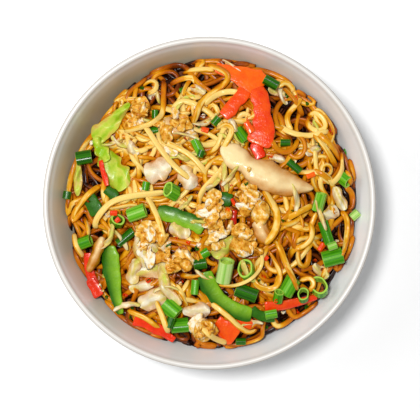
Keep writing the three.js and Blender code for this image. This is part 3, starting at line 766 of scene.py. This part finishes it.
draw = np.random.default_rng(FILL_SEED)
spot = draw.permutation(FILL_COUNT)
start_radius = FILL_REACH * np.sqrt((spot + 0.5) / FILL_COUNT)
start_angle = spot * math.pi * (3 - math.sqrt(5))
fill_skins = []
for number in range(FILL_COUNT):
    turning = smooth(draw.normal(0, CURL, FILL_STEPS), CURL_REACH) + draw.normal(0, BIAS)
    heading = draw.uniform(0, 2 * np.pi) + np.cumsum(turning)
    x, y = np.cumsum(np.cos(heading)) * STRAND_STEP, np.cumsum(np.sin(heading)) * STRAND_STEP
    x = x - x.mean() + start_radius[number] * math.cos(start_angle[number])
    y = y - y.mean() + start_radius[number] * math.sin(start_angle[number])
    room = FILL_ROOM_FIRST - FILL_ROOM_LESS * number / FILL_COUNT
    x, y = evenly(*kept_inside(x, y, room))
    width, thickness = draw.uniform(*FILL_WIDTHS), draw.uniform(*FILL_THICKNESSES)
    fill_skins.append(lay_strand(draw, x, y, width, thickness, ground, roof, **FILL_LAY))
level = (ground - heap_height(map_x, map_y))[np.hypot(map_x, map_y) < MEASURED_RADIUS]
print("noodles reach", np.round(np.percentile(level, [5, 50, 95]), 1), "mm above the dome")

# %% [markdown]
# Many small pieces lie between the large ones: scraps of pepper, leaf and chicken, and thin rings of onion.
# They rest on whatever is under them, so they use the same map of heights. A scrap's row ends in its tone.

# %% Scraps
SCRAP_ROWS = {
    "red_pepper": [
        (18.3, -64, -20, 11, 6, 0, 0.7), (-57.4, 16.4, -75, 14.5, 2.8, 0, 0.5),
        (21.5, 41, -60, 7, 4, 0, 0.8),
        (-62.6, -46, -60, 11, 6, 0, 0.4), (-51.7, -5.3, 0, 4, 3, 0, 0.6), (-49.6, -9.1, 40, 3, 2.5, 0, 0.6),
        (-2.3, 39.7, -20, 4, 3, 0, 0.7), (61.2, -23.8, 60, 5, 3, 0, 0.7), (55, 15, 20, 5, 3, 0, 0.9),
        (30.2, -29.2, -40, 4, 3, 0, 0.6), (12.9, 0.7, -60, 4, 2, 0, 0.6), (-36.5, 50.6, -70, 4, 3, 0, 0.6),
    ],
    "green_pepper": [(-53.4, 5.5, -40, 7.6, 5.4, 0, 0.4), (28.6, -61.2, -20, 14, 5.5, 50, 0.4)],
    "cabbage": [
        (-15.9, -14.6, -25, 12, 8, 0, 0.9), (38.4, 61, -15, 13, 5, 0, 0.9), (66, -5, 30, 9, 8, 0, 0.9),
        (60.7, -36.8, -40, 11, 6, 0, 0.8), (42.7, 28.9, 0, 8, 4, 0, 0.85),
        (-58.8, 29.4, -62, 15, 7, 0, 0.15),
        (56.2, 28.4, 20, 9, 5, 0, 0.9), (36.9, 24, -10, 9, 4, 0, 0.9), (13, 42, -60, 8, 4, 0, 0.8),
        (14.3, 74, -32, 17, 1.8, 0, 0.95), (-6, 62, -20, 9, 5, 0, 0.9), (-30, 60, 40, 8, 4, 0, 0.85),
        (-42, 30, -50, 10, 5, 0, 0.95),
        (-37, -26, -75, 18, 7, 15, 0.8), (-27, -29, -60, 20, 6, -20, 0.8),
        (-41, -37, -100, 14, 7, 10, 0.85),
        (-25, -42, -80, 17, 6, 15, 0.8), (-37, -45, 10, 14, 6, 0, 0.9), (-21, -50, -45, 15, 5, 20, 0.85),
    ],
    "chicken": [(-1.2, -66.7, -35, 12, 7, 0, 0.4)],
}
SCRAP_ONIONS = [
    (-29.5, 48.4, 90, 0, 4.9, 3.2, 0.3), (-30, 39.7, 10, 0, 4.4, 3.4, 0.3), (-14.3, 62, 20, 0, 4, 3.4, 0.2),
    (3.6, 44.6, 50, 0, 5, 4.6, 0.2), (41.1, 32.7, 0, 0, 5.4, 4.2, 0.1), (-34.4, 9.3, 80, 0, 4.8, 3.8, 0.5),
    (-2.3, -27, 30, 0, 4.4, 4.4, 0.5), (46, 20, -40, 0, 8.6, 3.8, 0.1), (66.6, -23.2, 20, 0, 5, 4.3, 0.8),
    (37.3, -50.4, 80, 30, 6, 6, 0.5), (50.9, -49.9, 100, 60, 4, 7, 0.4),
    (33.5, -60.2, 10, 0, 6.4, 4.8, 0.6),
    (-5, -33, 10, 0, 7, 5.2, 0.1), (-7.8, -45.5, 85, 0, 8, 3.8, 0.6), (-21.3, -64.5, 70, 0, 6, 4.4, 0.1),
    (17.2, -75.4, 0, 0, 5.4, 4.2, 0.1), (-24, -22.7, 0, 0, 6.4, 2.8, 0.1),
    (74.8, 27.8, 60, 0, 4.5, 3.5, 0.4),
    (-4.5, 26.7, 70, 0, 4, 3.2, 0.1), (-78, 4.5, 80, 0, 4.4, 4, 0.1), (79.5, -6.4, 40, 0, 5, 4.6, 0.9),
]
SCRAP_GRID, SCRAP_SINK, SCRAP_SEED = (24, 20), 0.8, 80
REST_PERCENT = 60
surface = np.maximum(ground, cover)


def settled(points, sink):
    """Moves points down until most of the piece lies on the map, and raises the map to it."""
    x, y, z = np.moveaxis(points, -1, 0)
    above = surface[cells(x, y)] - heap_height(x, y)
    moved = points + [0, 0, np.percentile(above, REST_PERCENT) - sink - (z - heap_height(x, y)).min()]
    np.maximum.at(surface, cells(x, y), moved[..., 2])
    return moved


def lay_scrap(kind, cut, row, tone, number, seed, sink, grid):
    """Cuts a small piece, settles it by its sink in mm and adds it to the pieces of its kind."""
    points, share, side, rise = cut_piece(row, cut, seed + number, *grid)
    cut_skins[kind].append(piece_skin(settled(points, sink), share, side, rise, 0, tone, number))


for kind, rows in SCRAP_ROWS.items():
    for number, (*row, tone) in enumerate(rows):
        lay_scrap(kind, kind, (*row, 0), tone, number, SCRAP_SEED, SCRAP_SINK, SCRAP_GRID)
for number, (*row, tone) in enumerate(SCRAP_ONIONS):
    points, green_and_hollow_shade, streak = onion_rings(row, row[5] / 2, min(0.9, row[5] / 4), row[4], number)
    points = settled(points, SCRAP_SINK)
    onion_skins.append(closed_skin(points, loop=True, tone=tone, skin=green_and_hollow_shade, streak=streak))
print(sum(len(rows) for rows in SCRAP_ROWS.values()), "scraps,", len(SCRAP_ONIONS), "small cuts of onion")

# %% [markdown]
# Egg breaks into thin flakes near its lumps. Shreds of cabbage and specks of pepper and egg lie all over the
# noodles, but not on the large pieces, from which they slide off. Seeded random
# places are enough for them. Each kind is laid with a first seed, a sink in mm and a grid of points.

# %% Flakes, shreds and specks
FLAKE_COUNT, FLAKE_SPREAD, FLAKE_ROOM, FLAKE_SEED = 72, 4.5, 8.0, 5
FLAKE_LAY, SHRED_LAY, SPECK_LAY = (200, 0.6, (12, 12)), (400, 1.2, (20, 10)), (600, 0.9, (8, 8))
FLAKE_NEAR = NODE_ROWS["egg"] + [NODE_ROWS["chicken"][3]]
SHRED_COUNT, SHRED_REACH = 56, 70
SPECK_COUNT, SPECK_REACH, SPECK_ROOM = 150, 72, 3.0
FLAKE_LENGTHS, SPECK_LENGTHS = (5, 11), (1.4, 3.2)
SHRED_LENGTHS, SHRED_WIDTHS = (9, 18), (1.8, 3.4)
SPECK_KINDS = ("red_pepper", "green_pepper", "egg")
draw = np.random.default_rng(FLAKE_SEED)
for number in range(FLAKE_COUNT):
    near = FLAKE_NEAR[number % len(FLAKE_NEAR)]
    x, y = kept_inside(*draw.normal(near[:2], FLAKE_SPREAD), FLAKE_ROOM)
    length = draw.uniform(*FLAKE_LENGTHS)
    row = (x, y, draw.uniform(0, 360), length, length * draw.uniform(0.5, 1), draw.uniform(-60, 60), 0)
    lay_scrap("egg", "flake", row, draw.uniform(0, 1), number, *FLAKE_LAY)
for number in range(SHRED_COUNT):
    x, y = kept_inside(*draw.uniform(-SHRED_REACH, SHRED_REACH, 2), FLAKE_ROOM)
    if np.isfinite(cover[cells(x, y)]):
        continue
    heading, length, width = draw.uniform(0, 360), draw.uniform(*SHRED_LENGTHS), draw.uniform(*SHRED_WIDTHS)
    row = (x, y, heading, length, width, draw.uniform(-90, 90), 0)
    lay_scrap("cabbage", "cabbage", row, draw.uniform(0.5, 0.9), number, *SHRED_LAY)
for number in range(SPECK_COUNT):
    x, y = kept_inside(*draw.uniform(-SPECK_REACH, SPECK_REACH, 2), SPECK_ROOM)
    if np.isfinite(cover[cells(x, y)]):
        continue
    length = draw.uniform(*SPECK_LENGTHS)
    row = (x, y, draw.uniform(0, 360), length, length * draw.uniform(0.5, 0.9), 0, 0)
    kind = SPECK_KINDS[number % len(SPECK_KINDS)]
    lay_scrap(kind, "flake", row, draw.uniform(0, 1), number, *SPECK_LAY)
print({kind: len(skins) for kind, skins in cut_skins.items()}, "pieces with flakes, shreds and specks")

# %% [markdown]
# Now the noodles that lie on top, each as a width and the places that it passes, as on the real dish. A
# Bezier curve could carry them. Here the corners of the rough line are cut off again and again, which turns
# it into a smooth curve and keeps it in the same arrays as the rest.

# %% Upper noodles
UPPER_NOODLES = [
    (4.2, [(-1, 77), (7, 73), (11, 69), (8, 64), (0, 59), (-5, 54), (-7, 48), (-9, 43)]),
    (3.8, [(-25, 69), (-25, 59), (-25, 50), (-27, 46), (-33, 42), (-46, 39)]),
    (3.8, [(-35, 42), (-25, 27), (-17, 18), (-10, 13)]),
    (3.8, [(-26, 34), (-13, 28), (-6, 22), (-1, 15)]),
    (4.2, [(-24, 6), (-32, 5), (-43, 4), (-53, 1), (-59, -5), (-62, -10), (-62, -14)]),
    (3.8, [(-34, 4), (-31, -1), (-27, -10), (-24, -20)]),
    (3.8, [(-59, 10), (-65, 6), (-70, 0), (-76, -6), (-78, -10), (-76, -10), (-70, -5), (-69, -2)]),
    (5.0, [(29, 7), (34, 0), (37, -6), (36, -15), (30, -22)]),
    (3.8, [(41, -9), (48, -5), (56, -1)]),
    (3.8, [(54, 47), (59, 51), (65, 46), (63, 40), (57, 39), (53, 43), (55, 48)]),
    (3.8, [(38, 42), (44, 38), (54, 36), (66, 40)]),
    (3.8, [(41, 64), (48, 55), (51, 47)]),
    (3.8, [(51, 59), (48, 54), (42, 48), (43, 42), (45, 39)]),
    (3.6, [(38, 63), (41, 67), (45, 69), (48, 66), (46, 61)]),
    (3.8, [(33, 35), (36, 29), (42, 27), (47, 31), (48, 35)]),
    (3.8, [(56, 38), (63, 30), (70, 19)]),
    (3.8, [(58, 39), (67, 31), (73, 22)]),
    (3.6, [(74, 29), (73, 19), (70, 14), (66, 10)]),
    (3.6, [(56, 18), (61, 16), (66, 12)]),
    (3.8, [(74, 9), (80, 6), (81, 2), (80, -3), (76, -3)]),
    (3.4, [(75, 18), (78, 15), (79, 10)]),
    (3.8, [(72, -4), (76, -9), (77, -16), (76, -24), (73, -31)]),
    (3.8, [(58, -5), (56, -10), (54, -15), (48, -13), (44, -12)]),
    (3.8, [(55, -10), (56, -18), (52, -23), (45, -25), (44, -30)]),
    (4.0, [(36, -20), (39, -26), (41, -32), (45, -40), (48, -47)]),
    (3.8, [(32, -25), (36, -32), (39, -39), (37, -45), (32, -47), (26, -45), (24, -41)]),
    (2.4, [(28, -26), (29, -33), (25, -39), (19, -43), (12, -45), (5, -44)]),
    (3.8, [(48, -24), (48, -32), (51, -35), (54, -32), (54, -24)]),
    (3.6, [(49, -42), (55, -40), (57, -44), (54, -48)]),
    (3.8, [(1, -54), (10, -61), (17, -68), (22, -71), (26, -69)]),
    (3.8, [(-5, -66), (2, -73), (10, -78)]),
    (3.8, [(-45, -59), (-35, -62), (-27, -69)]),
    (3.8, [(-29, -53), (-25, -62), (-22, -71)]),
    (3.6, [(-18, -44), (-14, -50), (-12, -56)]),
    (3.6, [(-2, -38), (-8, -40), (-16, -39)]),
    (3.6, [(-77, -17), (-75, -25), (-70, -30)]),
    (3.6, [(-69, -7), (-66, -13), (-66, -18)]),
    (3.8, [(-15, 72), (-7, 74), (3, 73)]),
    (3.6, [(-22, 65), (-16, 68), (-9, 69), (-7, 65)]),
    (3.4, [(-13, 61), (-9, 57), (-4, 58)]),
    (3.4, [(-37, 65), (-34, 69), (-29, 67), (-29, 62), (-34, 60)]),
    (3.4, [(-1, 50), (1, 54), (4, 52), (5, 48)]),
    (3.8, [(17, 60), (9, 61), (2, 58), (-3, 53)]),
    (3.8, [(4, 40), (9, 43), (13, 40), (10, 34), (7, 29)]),
]
SLIM_SHARE, FLAT_SHARE, UPPER_ROOM = 0.84, 0.6, 0.6
UPPER_LAY = {"tuck": 3.0, "rolling": 1.6, "sides": 14, "tones": (0.25, 1)}


def rounded_line(places):
    """Cuts each corner at a quarter and three quarters of the way, four times, and keeps both ends."""
    line = np.asarray(places, dtype=float)
    for _ in range(4):
        early, late = 0.75 * line[:-1] + 0.25 * line[1:], 0.25 * line[:-1] + 0.75 * line[1:]
        line = np.concatenate([line[:1], np.stack([early, late], axis=1).reshape(-1, 2), line[-1:]])
    return line.T


open_sky = np.full_like(ground, np.inf)
upper_skins = []
for full_width, places in UPPER_NOODLES:
    width = SLIM_SHARE * full_width
    thickness = FLAT_SHARE * width
    x, y = evenly(*kept_inside(*rounded_line(places), UPPER_ROOM))
    upper_skins.append(lay_strand(draw, x, y, width, thickness, surface, open_sky, **UPPER_LAY))
print(len(upper_skins), "upper noodles")

# %% [markdown]
# A fried noodle is boiled dough that took up oil and soy sauce. It is darker the deeper it lies, partly from
# sauce that runs down and partly as painted shade, and its underside is darker as painted shade. The sum of
# those numbers picks a colour from dark brown to pale yellow.

# %% Finish of the noodles
# The darkest shades serve deep noodles and undersides: partly sauce, partly painted shade.
NOODLE_SHADES = [
    (0.0, "220800"), (0.25, "8e3e00"), (0.5, "c26a00"), (0.74, "d48600"), (0.9, "e6a81e"), (1.0, "f4d074"),
]


def noodle(tree):
    """Wheat noodle fried in oil and soy sauce: translucent, glossy, darker deep down from sauce and painted
    shade, and painted shade underneath.
    """
    shade = weighted(
        tree, 0.45, ("tone", 0.58), ("depth", -1.1), ("stain", -0.4), ("streak", 0.1), (grain(tree, 9), 0.5),
    )
    colour = add_node(tree, "ValToRGB", "Color", {"Fac": shade}, NOODLE_SHADES)
    return moist(tree, colour, 0.3, 1.5, 0.08, (1.0, 0.6, 0.15))


oily_noodle = make_material("oily_wheat_noodle", noodle)
half_way = FILL_COUNT // 2
make_piece("noodles_lower", fill_skins[:half_way], oily_noodle, ["noodles"])
make_piece("noodles_middle", fill_skins[half_way:], oily_noodle, ["noodles"])
make_piece("noodles_upper", upper_skins, oily_noodle, ["noodles"])

# %% [markdown]
# The vegetables come next. Pepper has a glossy rind over pale, juicy flesh, cabbage goes from white rib to
# green leaf, and spring onion is streaked along its length. Numbers kept on each skin tell rind from flesh,
# and inside an onion they also carry painted shade.

# %% Finishes of the vegetables
def red_rind(tree):
    """Cooked red pepper: waxy rind, orange flesh where it was cut."""
    shade = weighted(tree, -0.3, ("tone", 1.0), (grain(tree, 5), 0.6))
    stops = [(0.0, "a01200"), (0.5, "e63000"), (1.0, "fd6a04")]
    rind = add_node(tree, "ValToRGB", "Color", {"Fac": shade}, stops)
    colour = add_node(tree, "Mix", 2, {0: "skin", 6: light("f6a040"), 7: rind}, data_type="RGBA")
    return moist(tree, colour, 0.25, 1.3, 0.3, (1.0, 0.3, 0.1), 0.5)


def green_rind(tree):
    """Cooked green pepper: dark waxy rind, lime flesh where it was cut."""
    rinds = {0: grain(tree, 4), 6: light("184804"), 7: light("38760a")}
    fleshes = {0: grain(tree, 5), 6: light("5e980c"), 7: light("98c426")}
    rind = add_node(tree, "Mix", 2, rinds, data_type="RGBA")
    flesh = add_node(tree, "Mix", 2, fleshes, data_type="RGBA")
    colour = add_node(tree, "Mix", 2, {0: "skin", 6: flesh, 7: rind}, data_type="RGBA")
    return moist(tree, colour, 0.38, 1.2, 0.2, (0.5, 1.0, 0.15), 0.15)


def edge_of(tree):
    """How near a point is to either long edge of its piece, from 0 in the middle to 1."""
    return add_node(tree, "Math", 0, {0: "across"}, operation="ABSOLUTE")


def leaf(tree):
    """Cabbage softened in the pan: white rib, lime leaf, brown edges where sauce soaked in."""
    share = weighted(tree, -0.55, ("tone", 0.9), (grain(tree, 6, 3.0), 1.1), ("vein", 0.16))
    stops = [(0.0, "92bc14"), (0.3, "c2d048"), (0.65, "dac26c"), (1.0, "efe7cc")]
    whole = add_node(tree, "ValToRGB", "Color", {"Fac": share}, stops)
    soaked = weighted(tree, -1.0, (edge_of(tree), 0.9), (grain(tree, 3), 0.9), ("tone", 0.4))
    colour = add_node(tree, "Mix", 2, {0: soaked, 6: whole, 7: light("c8801c")}, data_type="RGBA")
    return moist(tree, colour, 0.3, 1.6, 0.25, (0.8, 0.8, 0.5))


def onion_leaf(tree):
    """Spring onion: glossy green outside with lengthwise streaks, pale lime on the cut, greener inside as
    painted shade.
    """
    share = weighted(tree, 0.0, ("tone", 1.0), ("streak", 0.2))
    stops = [(0.0, "1c5006"), (0.45, "3c8a0a"), (0.7, "6cb418"), (1.0, "c0da84")]
    rind = add_node(tree, "ValToRGB", "Color", {"Fac": share}, stops)
    colour = add_node(tree, "Mix", 2, {0: "skin", 6: light("a8d04c"), 7: rind}, data_type="RGBA")
    return moist(tree, colour, 0.25, 1.0, 0.06, (0.5, 1.0, 0.2))


# %% [markdown]
# Chicken is pale in its middle and at one end, partly as a painted highlight there, and tan towards its
# edges. Egg is stirred while it sets, so yellow,
# brown skin and white lie side by side: a fine noise with many details mixes the three.

# %% Finishes of the chicken and egg
def meat(tree):
    """Fried chicken breast: pale fibres, tan towards its edges, paler towards one end partly as a painted
    highlight.
    """
    # Low values give the pale colour: in the middle, and towards the end where along is -1, partly as a
    # painted highlight.
    tan_share = weighted(
        tree, 0.32, (edge_of(tree), 0.75), ("along", 0.35), (grain(tree, 6), 0.9), ("tone", -0.85),
        ("vein", 0.12),
    )
    colour = add_node(tree, "Mix", 2, {0: tan_share, 6: light("f6dca2"), 7: light("c47804")}, data_type="RGBA")
    return moist(tree, colour, 0.25, 2.0, 0.2, (1.0, 0.8, 0.5), 0.5)


def omelette(tree):
    """Scrambled egg: yellow with brown skins and streaks of white."""
    share = weighted(tree, -0.49, (grain(tree, 2.4, 5.0), 1.5), ("tone", 0.5))
    stops = [(0.05, "9a5000"), (0.28, "d88e18"), (0.52, "eebc50"), (0.8, "faeed4")]
    colour = add_node(tree, "ValToRGB", "Color", {"Fac": share}, stops)
    return moist(tree, colour, 0.4, 1.3, 0.25, (1.0, 0.7, 0.3))


# %% [markdown]
# A knife leaves crisp edges on pepper and onion, while meat, egg and soft leaves stay round. So each topping
# has a material, a finish and the angle from which its edges stay crisp.

# %% Toppings
FINISHES = {
    "red_pepper": ("red_pepper_rind_and_flesh", red_rind, 26),
    "green_pepper": ("green_pepper_rind_and_flesh", green_rind, 26),
    "cabbage": ("cooked_cabbage_leaf", leaf, 180),
    "chicken": ("fried_chicken", meat, 180),
    "egg": ("scrambled_egg", omelette, 180),
    "spring_onion": ("spring_onion_leaf", onion_leaf, 40),
}
topping_skins = {**cut_skins, "spring_onion": onion_skins}
topping_rows = {**NODE_ROWS, "spring_onion": ONION_ROWS}
for kind, (material_name, finish, sharp) in FINISHES.items():
    nodes = [f"{kind}_{number}" for number in range(1, len(topping_rows[kind]) + 1)]
    material = make_material(material_name, finish)
    make_piece(f"{kind}_pieces", topping_skins[kind], material, nodes, sharp)

# %% [markdown]
# The bowl stands on plain white card. A small softbox nearly overhead draws the narrow shadow at the lower
# right. A wide, low lamp stands for a window on the left, and a weak white world fills the shade.

# %% Floor and light
ROOM_GLOW = 0.3
floor_mesh = bpy.data.meshes.new("white_board")
floor_mesh.from_pydata([(-2, -2, 0), (2, -2, 0), (2, 2, 0), (-2, 2, 0)], [], [(0, 1, 2, 3)])


def card(tree):
    """White card, matt, which reads as a plain white ground."""
    return {"Base Color": light("ffffff"), "Roughness": 0.9}


def add_lamp(name, size, energy, lean, heading, far):
    """A round soft lamp that leans from overhead by some degrees towards a heading, far metres away."""
    lamp_data = bpy.data.lights.new(name, "AREA")
    lamp_data.shape = "DISK"
    lamp_data.size = size
    lamp_data.energy = energy
    lamp = bpy.data.objects.new(name, lamp_data)
    way, lean = math.radians(heading), math.radians(lean)
    aside = far * math.sin(lean)
    lamp.location = (aside * math.cos(way), aside * math.sin(way), far * math.cos(lean))
    lamp.rotation_euler = (0, lean, way)
    bpy.context.scene.collection.objects.link(lamp)


floor_mesh.materials.append(make_material("white_card", card))
floor = bpy.data.objects.new("white_board", floor_mesh)
bpy.context.scene.collection.objects.link(floor)
add_lamp("softbox", size=0.2, energy=11.4, lean=9, heading=147, far=1.3)
add_lamp("window", size=0.9, energy=4.9, lean=45, heading=162, far=1.5)
world = bpy.data.worlds.new("white_room")
world.use_nodes = True
world.node_tree.nodes["Background"].inputs["Color"].default_value = light("ffffff")
world.node_tree.nodes["Background"].inputs["Strength"].default_value = ROOM_GLOW
bpy.context.scene.world = world
print([lamp.name for lamp in bpy.data.lights], "light the bowl")

# %% [markdown]
# The picture is taken from straight above. A long lens far away keeps the bowl round and its wall narrow. The
# camera stands a little off the middle, which places the bowl in the picture as it should be.

# %% Camera
CAMERA_LENS, CAMERA_SENSOR = 143, 36
CAMERA_PLACE = (0.38, -3.68, BOWL_HEIGHT + 900)
camera_data = bpy.data.cameras.new("camera")
camera_data.sensor_width = CAMERA_SENSOR
camera_data.lens = CAMERA_LENS
camera = bpy.data.objects.new("camera", camera_data)
camera.location = [place * MM for place in CAMERA_PLACE]
bpy.context.scene.collection.objects.link(camera)
bpy.context.scene.camera = camera
bpy.context.scene.view_settings.view_transform = "Standard"
print("camera", tuple(round(value, 4) for value in camera.location))
